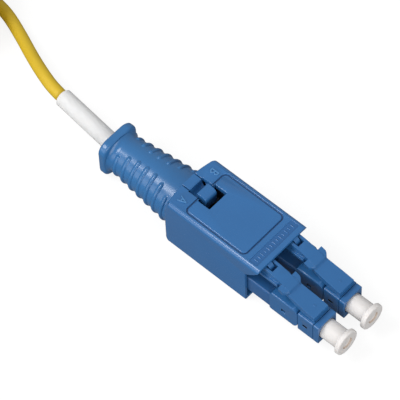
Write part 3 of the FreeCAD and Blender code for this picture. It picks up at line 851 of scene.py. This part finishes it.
@dataclass
class PatchCable:
    """The cable from the sleeve to the tied hank of its spare length.

    Attributes:
        diameter: the jacket's diameter, in millimetres.
        route: points it follows on the bench.
        fold: centre of the hank's near fold.
        fold_points: control points of a fold.
        run: length of the hank's straight runs.
        run_shares: places of a run's control points along it.
        columns: radii of its two columns of turns.
        layers: heights of its layers.
    """

    diameter: float = 2.3
    route: tuple[Point, ...] = (
        (-38.75, 1.486, 4.43), (-41.15, 1.743, 4.43), (-44.4, 2.7, 4.3), (-49.0, 4.62, 3.2),
        (-54.4, 7.2, 1.9), (-60.4, 9.5, 1.5), (-66.0, 9.7, 1.5),
    )
    fold: Pair = (-69.0, 0.5)
    fold_points: int = 8
    run: float = 35.0
    run_shares: tuple[float, ...] = (0.12, 0.5, 0.88)
    columns: Pair = (9.2, 6.9)
    layers: tuple[float, ...] = (1.5, 3.8, 6.1, 8.4)

    def hank_points(self) -> list[Point]:
        """Works out the hank's control points.

        A turn is a straight run, the far fold, a straight run back and the near fold, where
        the cable moves to its next column or layer. The control polygon of a fold is wider
        than its curve by 4 / (3 + cos(angle between two of its points)).

        Returns:
            The points, in millimetres.
        """
        order = [
            (column, height)
            for number, height in enumerate(self.layers)
            for column in (self.columns if number % 2 == 0 else self.columns[::-1])
        ]
        radii = np.array([column for column, _ in order])
        heights = np.array([height for _, height in order])
        turns = len(order)
        fold = (np.arange(self.fold_points) + 0.5) / self.fold_points
        steps = np.pi * fold
        wider = 4 / (3 + math.cos(math.pi / self.fold_points))
        along = self.run * np.array(self.run_shares)
        flat, bent = np.ones(len(along)), np.ones(len(fold))
        angle = np.concatenate(
            [flat * np.pi / 2, np.pi / 2 + steps, flat * 1.5 * np.pi, 1.5 * np.pi + steps]
        )
        offset = np.concatenate([-along, -self.run * bent, along - self.run, 0 * bent])
        size = np.concatenate([flat, wider * bent, flat, wider * bent])
        share = np.concatenate([0 * flat, 0 * bent, 0 * flat, fold])
        following = np.minimum(np.arange(turns) + 1, turns - 1)
        radius = radii[:, None] + (radii[following] - radii)[:, None] * share
        height = heights[:, None] + (heights[following] - heights)[:, None] * share
        x = self.fold[0] + offset + radius * size * np.cos(angle)
        y = self.fold[1] + radius * size * np.sin(angle)
        return list(zip(x.ravel().tolist(), y.ravel().tolist(), height.ravel().tolist()))

    def build(self) -> Object:
        """Returns:
            The finished cable.
        """
        points = [*self.route, *self.hank_points()]
        curve = bpy.data.curves.new("patch_cable", "CURVE")
        curve.dimensions = "3D"
        curve.bevel_depth = self.diameter / 2 * MM
        curve.bevel_resolution = 6
        curve.resolution_u = 5
        curve.use_fill_caps = True
        spline = curve.splines.new("NURBS")
        spline.points.add(len(points) - 1)
        for point, (x, y, z) in zip(spline.points, points):
            point.co = (x * MM, y * MM, z * MM, 1.0)
        spline.order_u = 3
        spline.use_endpoint_u = True
        cable = link_object("patch_cable", curve)
        joined_ends = cable.modifiers.new("joined_ends", "WELD")
        joined_ends.merge_threshold = 1.0e-6
        place_piece(
            cable, Body.CARRIER, JACKET_YELLOW, "jacket_yellow", "cable_run", "cable_coil"
        )
        tie = SoftenedPart("coil_tie", Body.CARRIER, TIE_BLACK, "tie_black", 0.06).build()
        return cable


# ---- boot, sleeve and caps ------------------------------------------------------------------


@dataclass
class PullBoot:
    """Ribbed pull boot with a square flange at its rear.

    Attributes:
        ovals: x, half width and half height of the body at its front, middle and rear.
        flange_x: rear and front of the flange.
        flange_half: the flange's half side.
        flange_corner: its corner radius.
        flange_edge: rounding of its front and rear edges.
        root_length, root_rise, root_power: the sweep from the body up to the flange.
        bore: x and radius along the bore, from the flange's rear to the body's front.
        rib_first, rib_pitch, rib_count: where the ribs are.
        rib_radius: radius of a rib's round back.
        rib_sink: how far a rib's centre line is below the body's surface.
        rib_blend, rib_foot, rib_cut: softness, slope and lower limit of a rib's foot.
        reach_peak, reach_fall: longest reach of a rib and how it falls, in degrees.
        reach_middle, reach_power: which rib is longest and the power of the fall.
        rows: rows of points along the body and along the sweep.
        sweep_rows_length: length that has the sweep's denser rows.
        columns: points round the boot.
    """

    ovals: tuple[Point, ...] = ((-9.17, 4.98, 4.37), (-16.45, 4.17, 3.96), (-23.95, 3.36, 3.26))
    flange_x: Pair = (-25.65, -23.95)
    flange_half: float = 3.95
    flange_corner: float = 1.9
    flange_edge: float = 0.55
    root_length: float = 1.25
    root_rise: float = 0.62
    root_power: float = 2.6
    bore: tuple[Pair, ...] = (
        (-25.65, 2.42), (-25.53, 2.28), (-22.85, 1.85), (-18.4, 1.85), (-18.4, 2.5),
        (-6.95, 2.5), (-6.95, 3.6), (-7.0, 3.65), (-7.83, 3.65), (-7.83, 3.1), (-9.17, 3.1),
    )
    rib_first: float = -10.85
    rib_pitch: float = 1.91
    rib_count: int = 7
    rib_radius: float = 0.42
    rib_sink: float = 0.12
    rib_blend: float = 0.05
    rib_foot: float = 0.9
    rib_cut: float = 0.004
    reach_peak: float = 69.5
    reach_fall: float = 1.62
    reach_middle: float = 3.05
    reach_power: float = 2.45
    rows: tuple[int, int] = (196, 22)
    sweep_rows_length: float = 1.2
    columns: int = 216

    def half_sizes(self, x: np.ndarray) -> tuple[np.ndarray, np.ndarray]:
        """Half width and half height of the oval body at x, by straight interpolation."""
        places, widths, heights = (np.array(v[::-1]) for v in zip(*self.ovals))
        return np.interp(x, places, widths), np.interp(x, places, heights)

    def rib_reach(self, index: np.ndarray) -> np.ndarray:
        """How far round from the side each rib goes: peak - fall |i - middle|^power."""
        fall = self.reach_fall * np.abs(index - self.reach_middle) ** self.reach_power
        return np.radians(self.reach_peak - fall)

    def rib_height(self, x: np.ndarray, angle: np.ndarray, size: np.ndarray) -> np.ndarray:
        """Height of the ribs above the body.

        A rib is a bead: sqrt(R^2 - dx^2 - d^2) - sink, where dx is the distance along the boot
        from the rib's line and d the distance round the boot past its tip. It is joined to the
        body by a soft maximum, (h + sqrt(h^2 + s^2)) / 2.

        Args:
            x: places along the boot.
            angle: angles round the boot.
            size: the body's mean radius at x.

        Returns:
            Heights, in millimetres.
        """
        index = np.clip(np.rint((self.rib_first - x) / self.rib_pitch), 0, self.rib_count - 1)
        along = x - (self.rib_first - self.rib_pitch * index)
        from_side = np.abs(np.arctan2(np.abs(np.sin(angle)), np.abs(np.cos(angle))))
        past = np.maximum(0.0, from_side - self.rib_reach(index)) * size
        square = self.rib_radius**2 - along**2 - past**2
        height = np.where(
            square > 0,
            np.sqrt(np.maximum(square, 0)),
            -self.rib_foot * (np.sqrt(along**2 + past**2) - self.rib_radius),
        )
        height = height - self.rib_sink
        blended = (height + np.sqrt(height**2 + self.rib_blend**2)) / 2
        return np.maximum(0.0, blended - self.rib_cut)

    def square_radius(self, angle: np.ndarray, half: np.ndarray, corner: float) -> np.ndarray:
        """Distance from the centre to a rounded square's edge at an angle.

        On the flat part it is half / cos(a). Past the corner's start it is the far root of the
        ray with the corner's circle, m + sqrt(r^2 - (cx^2 + cy^2 - m^2)), with m the circle's
        centre measured along the ray.

        Args:
            angle: angles round the centre.
            half: the square's half side.
            corner: the radius of its corners.

        Returns:
            Distances, in millimetres.
        """
        folded = np.abs((angle + np.pi / 4) % (np.pi / 2) - np.pi / 4)
        centre = half - corner
        flat = half / np.cos(folded)
        middle = centre * (np.cos(folded) + np.sin(folded))
        inside = np.maximum(corner**2 - (2 * centre**2 - middle**2), 0)
        return np.where(half * np.tan(folded) <= centre, flat, middle + np.sqrt(inside))

    def build(self) -> Object:
        """Builds the boot as one closed surface.

        The rows run from the bore's front out over the boot, round the flange and back up the
        bore. Each row's radius is an ellipse's, a rounded square's or a circle's, and the root
        of the flange rises from the body by share^power.

        Returns:
            The finished boot.
        """
        angle = full_turn(self.columns)
        front, rear = self.ovals[0][0], self.ovals[-1][0]
        flange_rear, flange_front = self.flange_x
        body_end, gap = rear + self.sweep_rows_length, 0.02
        x_body = np.linspace(front, body_end, self.rows[0])[:, None]
        x_root = np.linspace(body_end, flange_front + gap, self.rows[1])[1:, None]
        edge = self.flange_edge
        turn = np.linspace(0, np.pi / 2, 8)[:, None]
        x_flange = np.concatenate(
            [
                flange_front - edge + edge * np.cos(turn),
                np.linspace(flange_front - edge, flange_rear + edge, 5)[1:-1, None],
                flange_rear + edge - edge * np.sin(turn),
            ]
        )
        x_flange[0] = flange_front
        inset = np.concatenate(
            [edge - edge * np.sin(turn), np.zeros((3, 1)), edge - edge * np.cos(turn)]
        )
        x_outer = np.concatenate([x_body, x_root])
        width, height = self.half_sizes(x_outer)
        oval = together(width * np.cos(angle), height * np.sin(angle))
        size = np.hypot(oval[..., 0], oval[..., 1])
        heights = self.rib_height(x_outer, angle, size)
        outward = oval / size[..., None]
        root = np.clip((rear + self.root_length - x_outer) / self.root_length, 0, 1)
        sweep = self.root_rise * root**self.root_power
        ring = oval + outward * (heights + sweep)[..., None]
        polar = np.arctan2(outward[-1:, :, 1], outward[-1:, :, 0])
        half = self.flange_half - inset
        square = self.square_radius(polar, half, self.flange_corner)
        x_bore, r_bore = np.hsplit(np.array(self.bore), 2)
        rings = np.concatenate([ring, around(square, polar), around(r_bore, polar)])
        x_rows = np.concatenate([x_outer, x_flange, x_bore])
        points = together(x_rows, rings[..., 0], AXIS_Z + rings[..., 1])
        boot = grid_object("ribbed_boot", points * MM, True, True)
        boot.data.set_sharp_from_angle(angle=math.radians(50))
        return place_piece(boot, Body.HOUSING, BOOT_BLUE, "boot_blue", "pull_boot")


@dataclass
class CableSleeve:
    """White sleeve over the cable, from inside the boot to its cut end.

    Attributes:
        radius, bore: outer and inner radius.
        front, end: x of its two ends.
        bend, bend_length: where it turns, and over what length.
        turn: how far it turns, in degrees.
        turn_loss: length that the turn takes off along X.
        rims: rounding of the cut end's outer and inner edge.
        rows, columns: points along the sleeve and round it.
    """

    radius: float = 1.6
    bore: float = 1.17
    front: float = -20.2
    bend: float = -24.85
    end: float = -38.75
    bend_length: float = 3.2
    turn: float = 6.1
    turn_loss: float = 0.08
    rims: Pair = (0.12, 0.06)
    rows: int = 160
    columns: int = 72

    def build(self) -> Object:
        """Builds the sleeve: a tube on a line with one soft turn, its end's edges rounded.

        The line's heading goes from 0 to the turn by a smooth step round the bend, and its
        places are the running sum of the headings.

        Returns:
            The finished sleeve.
        """
        along = np.linspace(0, self.front - self.end + self.turn_loss, self.rows)
        x_flat = self.front - along
        share = np.clip((self.bend - x_flat) / self.bend_length + 0.5, 0, 1)
        heading = np.radians(self.turn) * share * share * (3 - 2 * share)
        step = np.diff(along, prepend=0.0)
        x = self.front - np.cumsum(step * np.cos(heading))
        y = np.cumsum(step * np.sin(heading))
        corners = [
            (along[0], self.bore, 0.0), (along[0], self.radius, 0.0),
            (along[-1], self.radius, self.rims[0]), (along[-1], self.bore, self.rims[1]),
        ]
        profile = rounded_profile(corners, 0.25)
        x_row, y_row, head = (
            np.interp(profile[:, 0], along, line)[:, None] for line in (x, y, heading)
        )
        side, height = np.moveaxis(around(profile[:, 1:2], full_turn(self.columns)), -1, 0)
        points = together(
            x_row + side * np.sin(head), y_row + side * np.cos(head), AXIS_Z + height
        )
        sleeve = grid_object("cable_sleeve_white", points * MM, True, True)
        return place_piece(sleeve, Body.CARRIER, SLEEVE_WHITE, "sleeve_white", "cable_sleeve")


@dataclass
class DustCap:
    """Milky dust cap on a ferrule: spigot, tube, wide rim and a shallow round dish.

    Attributes:
        letter: the plug's letter.
        centre_y: the ferrule's y.
        body: the cap's body.
        corners: x, radius and rounding of the profile's corners.
        wall_x, wall_radius: limits of the dish's wall.
    """

    letter: str
    centre_y: float
    body: Body
    corners: tuple[Point, ...] = (
        (22.75, 0.66, 0.0), (22.75, 1.4, 0.05), (23.5, 1.4, 0.0), (23.5, 1.76, 0.08),
        (26.98, 1.76, 0.1), (27.08, 2.24, 0.12), (27.2, 2.36, 0.1), (27.93, 2.36, 0.2),
        (27.93, 1.08, 0.05), (27.63, 1.0, 0.06), (27.63, 0.01, 0.0), (26.9, 0.01, 0.0),
        (26.9, 0.66, 0.0),
    )
    wall_x: Pair = (27.64, 27.92)
    wall_radius: Pair = (0.97, 1.1)

    def build(self) -> Object:
        """Builds the cap by turning its rounded profile round the ferrule's axis.

        Returns:
            The finished cap.
        """
        profile = rounded_profile(self.corners, 0.3)
        cap = turned_piece(f"dust_cap_{self.letter}_white", profile, self.centre_y, 96)
        place_piece(cap, self.body, CAP_WHITE, "cap_white", f"dust_cap_{self.letter}")
        self.paint_dish_shade(cap.data)
        return cap

    def paint_dish_shade(self, mesh: Mesh) -> None:
        """Paints shade on the dish's wall: a darker, warmer finish than the rest of the cap.

        Args:
            mesh: the cap's mesh.
        """
        x, y, z = read_rows(mesh.polygons, "center", 3).T / MM
        reach = np.hypot(y - self.centre_y, z - AXIS_Z)
        wall = (x > self.wall_x[0]) & (x < self.wall_x[1])
        wall &= (reach > self.wall_radius[0]) & (reach < self.wall_radius[1])
        # The wall's faces get the painted-shade finish.
        mesh.materials.append(CAP_DISH_SHADE.material())
        mesh.polygons.foreach_set("material_index", wall.astype(np.int32))


# ---- moulded shells and plugs ---------------------------------------------------------------


@dataclass(frozen=True)
class SoftenedPart:
    """One moulded part shown by its solid with rounded edges.

    Attributes:
        node: the solid's name.
        body: the body it rides on.
        finish: its finish.
        slot: its record slot.
        width: the rounding's width, in millimetres.
        zones: zones rounded by their own width.
        cavities: deep or sunken places whose faces get painted shade.
        angle: edges sharper than this are rounded, in degrees.
        flat: faces that turn less than this are one face, in degrees.
        merged, thin: points and slivers closer than this are merged, in metres.
    """

    node: str
    body: Body
    finish: Finish
    slot: str
    width: float
    zones: tuple[Rounding, ...] = ()
    cavities: tuple[ShadedCavity, ...] = ()
    angle: float = 32.0
    flat: float = 0.6
    merged: float = 2e-7
    thin: float = 2e-6

    def softened_copy(self) -> Object:
        """Copies the solid's mesh, merges it into whole faces and rounds its sharp edges.

        Returns:
            The rounded copy, with no finish yet.
        """
        name = f"{self.node}_moulded"
        mesh = bpy.data.objects[self.node].data.copy()
        mesh.name = name
        with edited(mesh) as shape:
            bmesh.ops.remove_doubles(shape, verts=shape.verts, dist=self.merged)
            bmesh.ops.dissolve_degenerate(shape, edges=shape.edges, dist=self.thin)
            bmesh.ops.dissolve_limit(
                shape, angle_limit=math.radians(self.flat), verts=shape.verts, edges=shape.edges
            )
            bmesh.ops.connect_verts_concave(shape, faces=shape.faces)
        smooth_faces(mesh)
        mesh.set_sharp_from_angle(angle=math.radians(self.angle))
        turn, convex = edge_turns(mesh)
        middles = edge_middles(mesh)
        widths = np.where(turn > math.radians(self.angle), self.width, 0.0)
        for zone in self.zones:
            own = np.where(convex, zone.width, zone.width / 4)
            widths = np.where(zone.holds(middles) & (widths > 0), own, widths)
        largest = float(widths.max())
        weights = mesh.attributes.new("bevel_weight_edge", "FLOAT", "EDGE")
        weights.data.foreach_set("value", (widths / largest).astype(np.float32))
        piece = link_object(name, mesh)
        bevel = piece.modifiers.new("rounded_edges", "BEVEL")
        bevel.width = largest * MM
        bevel.segments = 3
        bevel.limit_method = "WEIGHT"
        bevel.use_clamp_overlap = False
        bevel.loop_slide = False
        bevel.harden_normals = True
        bevel.miter_outer = "MITER_ARC"
        return piece

    def shade_cavities(self, mesh: Mesh) -> None:
        """Paints shade inside each cavity by giving its faces the cavity's darker finish.

        Args:
            mesh: the part's mesh.
        """
        places = read_rows(mesh.polygons, "center", 3) / MM
        deep = np.zeros(len(places), dtype=np.int32)
        for index, cavity in enumerate(self.cavities, start=1):
            mesh.materials.append(cavity.finish.material())
            deep[cavity.holds(places)] = index
        mesh.polygons.foreach_set("material_index", deep)

    def build(self) -> Object:
        """Builds the rounded copy and puts it in the solid's place.

        Returns:
            The finished part.
        """
        piece = self.softened_copy()
        place_piece(piece, self.body, self.finish, self.slot, self.node)
        if self.cavities:
            self.shade_cavities(piece.data)
        return piece


@dataclass
class MouldedParts:
    """All parts that are their solids with rounded edges."""

    def parts(self) -> list[SoftenedPart]:
        """Lists the parts of the shell, the carrier and both plugs.

        Returns:
            The parts in building order.
        """
        listed = [
            SoftenedPart(
                "outer_housing", Body.HOUSING, SHELL_BLUE, "shell_blue", 0.07,
                zones=(
                    Rounding((-6.2, -5.4, 11.0), (8.4, -2.2, 11.5), 0.15),
                    Rounding((-6.2, 2.2, 11.0), (8.4, 5.4, 11.5), 0.15),
                    Rounding((7.4, -5.4, 11.0), (8.4, 5.4, 11.5), 0.15),
                    Rounding((8.6, -5.4, 11.1), (10.8, 5.4, 11.5), 0.09),
                    Rounding((-9.3, -5.6, 11.2), (-8.1, 5.6, 11.5), 0.14),
                    Rounding((-5.3, 1.9, 11.2), (-2.2, 2.6, 11.5), 0.13),
                ),
                cavities=(
                    # Painted shade on the panel groove's floor.
                    ShadedCavity((-5.5, -5.2, 11.1), (8.2, 5.2, 11.21), GROOVE_SHADE_BLUE),
                    # Painted shade on the front recess's floor.
                    ShadedCavity((8.7, -5.3, 11.24), (10.7, 5.3, 11.28), STRIP_SHADE_BLUE),
                ),
            ),
            SoftenedPart("lock_lever", Body.LOCK, LEVER_BLUE, "inner_blue", 0.06),
            SoftenedPart("inner_body", Body.CARRIER, INNER_BLUE, "inner_blue", 0.08),
            SoftenedPart(
                "inner_cover", Body.CARRIER, INNER_BLUE, "inner_blue", 0.06,
                # Painted shade: the faces deep under the window get the near-black cavity finish.
                cavities=(ShadedCavity((-5.6, -2.3, 6.5), (-1.5, 2.3, 10.6)),),
            ),
        ]
        # Painted shade: the faces in the peg holes get the near-black cavity finish.
        shaded_peg_holes = tuple(
            ShadedCavity((x - 0.45, -6.0, z - 0.36), (x + 0.45, 6.0, z + 0.36))
            for x, z in ((16.3, 4.2), (20.83, 4.45))
        )
        for letter, latch in (("a", Body.LATCH_A), ("b", Body.LATCH_B)):
            for stem, width in (("plug_frame", 0.06), ("plug_shell", 0.07), ("latch_ring", 0.05)):
                node = f"{stem}_{letter}"
                listed.append(
                    SoftenedPart(node, Body.CARRIER, PLUG_BLUE, "plug_blue", width, (), shaded_peg_holes)
                )
            node = f"latch_arm_{letter}"
            listed.append(SoftenedPart(node, latch, PLUG_BLUE, "plug_blue", 0.05))
        return listed

    def build(self) -> None:
        """Builds every part and dresses the inner ones that stay as solids."""
        for part in self.parts():
            part.build()
        for node, finish in KEPT_NODES.items():
            solid = bpy.data.objects[node]
            solid.data.materials.clear()
            solid.data.materials.append(finish.material())


@dataclass(frozen=True)
class PressSpring:
    """Wound spring behind a ferrule; in the real plug it shortens as the ferrule floats back.

    Attributes:
        letter: the plug's letter.
        travel: how far the ferrule floats back, in millimetres; not used.
    """

    letter: str
    travel: float = 0.8

    def build(self) -> Object:
        """Builds the spring from its solid.

        Returns:
            The finished spring.
        """
        node = f"spring_{self.letter}"
        mesh = bpy.data.objects[node].data.copy()
        weld(mesh)
        smooth_faces(mesh)
        piece = link_object(f"{node}_wound", mesh)
        place_piece(piece, Body.CARRIER, SPRING_STEEL, "spring_steel", node)
        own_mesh(piece)
        return piece


# ---- raised marks ---------------------------------------------------------------------------


@dataclass
class RaisedMarks:
    """Faint raised side letters, plain ticks in the front recess and the latches' domes.

    Attributes:
        top: height of the panel that the letters stand on.
        lift, root: how far a letter stands out of the panel and goes into it.
        letter_depth, letter_edge: half depth and edge rounding, before it is scaled.
        tick_count, tick_reach: how many ticks there are and the outermost one's y.
        tick_x, tick_z: the middle of each tick.
        tick_halves: half lengths of the long and the short ticks.
        tick_radius: radius of each tick.
        dome_x, dome_z: the middle of each ejector mark.
        dome_radius, dome_height: its size.
        dome_tilt: slope of the plate that it stands on, in degrees.
    """

    top: float = 11.38
    lift: float = 0.15
    root: float = 0.1
    letter_depth: float = 0.05
    letter_edge: float = 0.012
    tick_count: int = 13
    tick_reach: float = 4.3
    tick_x: float = 9.73
    tick_z: float = 11.26
    tick_halves: Pair = (0.5, 0.36)
    tick_radius: float = 0.1
    dome_x: float = 20.93
    dome_z: float = 8.1
    dome_radius: float = 0.21
    dome_height: float = 0.075
    dome_tilt: float = 8.2

    def letter(self, text: str, x_span: Pair, y_span: Pair) -> Object:
        """Builds one letter that reads with its top towards +X.

        Args:
            text: the letter.
            x_span: lowest and highest x, from its foot to its head.
            y_span: highest and lowest y, from its left to its right.

        Returns:
            The finished letter.
        """
        curve = bpy.data.curves.new(f"letter_{text.lower()}_curve", "FONT")
        curve.body = text
        curve.extrude = self.letter_depth
        curve.bevel_depth = self.letter_edge
        curve.resolution_u = 6
        made = link_object("letter_source", curve)
        mesh = bpy.data.meshes.new_from_object(
            made.evaluated_get(bpy.context.evaluated_depsgraph_get())
        )
        bpy.data.objects.remove(made)
        local = read_rows(mesh.vertices, "co", 3).astype(float)
        low, high = local.min(0), local.max(0)
        share = (local - low) / (high - low)
        placed = together(
            x_span[0] + share[:, 1] * (x_span[1] - x_span[0]),
            y_span[0] + share[:, 0] * (y_span[1] - y_span[0]),
            self.top - self.root + share[:, 2] * (self.root + self.lift),
        )
        mesh.vertices.foreach_set("co", (placed * MM).reshape(-1).astype(np.float32))
        weld(mesh)
        piece = link_object(f"side_letter_{text.lower()}", mesh)
        # The letter's lighter blue is a painted highlight on its raised strokes.
        return place_piece(piece, Body.HOUSING, LETTER_HIGHLIGHT_BLUE, "shell_blue")

    def ticks(self) -> Object:
        """Builds the ticks: capsules along X, half sunk in the recess's floor.

        A capsule's outline is x = h a, r = R sqrt(1 - a^8), with a from -1 to 1, and each is
        turned round its own line.

        Returns:
            All ticks as one piece.
        """
        places = np.linspace(-self.tick_reach, self.tick_reach, self.tick_count)
        share = np.sin(np.linspace(-np.pi / 2, np.pi / 2, 17))
        radius = self.tick_radius * np.sqrt(np.maximum(1 - share**8, 0.0))
        radius[[0, -1]] = self.tick_radius * 0.02
        half = np.where(np.arange(self.tick_count) % 2 == 0, *self.tick_halves)
        ring = around(radius[:, None], full_turn(12))
        x = self.tick_x + half[:, None, None] * share[None, :, None]
        points = together(x, places[:, None, None] + ring[..., 0], self.tick_z + ring[..., 1])
        marks = grid_object("recess_ticks", points * MM, False, False)
        cap_open_rows(marks.data)
        return place_piece(marks, Body.HOUSING, SHELL_BLUE, "shell_blue")

    def ejector_mark(self, letter: str, centre_y: float, body: Body) -> Object:
        """Builds the small round ejector mark on a latch's sloping plate: a low dome.

        At level v the dome's radius is R cos v and its height H sin v, tilted as the plate is.
        Its top has a tiny radius left, and its lowest rows are inside the plate.

        Args:
            letter: the plug's letter.
            centre_y: the latch's y.
            body: the latch's body.

        Returns:
            The finished mark.
        """
        lowest, least = -0.6, 0.002
        level = np.linspace(lowest, np.pi / 2, 10)[:, None]
        radius = np.maximum(self.dome_radius * np.cos(level), least)
        side, across = np.moveaxis(around(radius, full_turn(24)), -1, 0)
        height = self.dome_height * np.sin(level)
        tilt = np.radians(self.dome_tilt)
        points = together(
            self.dome_x + side * np.cos(tilt) + height * np.sin(tilt),
            centre_y + across,
            self.dome_z - side * np.sin(tilt) + height * np.cos(tilt),
        )
        mark = grid_object(f"ejector_mark_{letter}", points * MM, False, False)
        cap_open_rows(mark.data)
        return place_piece(mark, body, PLUG_BLUE, "plug_blue")

    def build(self) -> None:
        """Builds both letters, the ticks and the ejector marks."""
        self.ejector_mark("a", -3.0, Body.LATCH_A)
        self.ejector_mark("b", 3.09, Body.LATCH_B)
        self.letter("A", (-7.35, -5.78), (-3.08, -4.31))
        self.letter("B", (-7.25, -5.62), (4.12, 3.27))
        self.ticks()


# ---- main -----------------------------------------------------------------------------------


def main() -> None:
    """Builds the connector in order."""
    logging.basicConfig(level=logging.INFO, format="%(name)s: %(message)s")
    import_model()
    for build_effect in (build_moulded_skin, build_turned_lines, build_flow_streaks):
        build_effect()
    for assembly in (
        Studio(), PatchCable(), CableSleeve(), PullBoot(),
        DustCap("a", -PLUG_Y, Body.CAP_A), DustCap("b", PLUG_Y, Body.CAP_B),
        MouldedParts(), PressSpring("a"), PressSpring("b"), RaisedMarks(),
    ):
        assembly.build()
    bpy.context.view_layer.update()


if __name__ == "__main__":
    main()
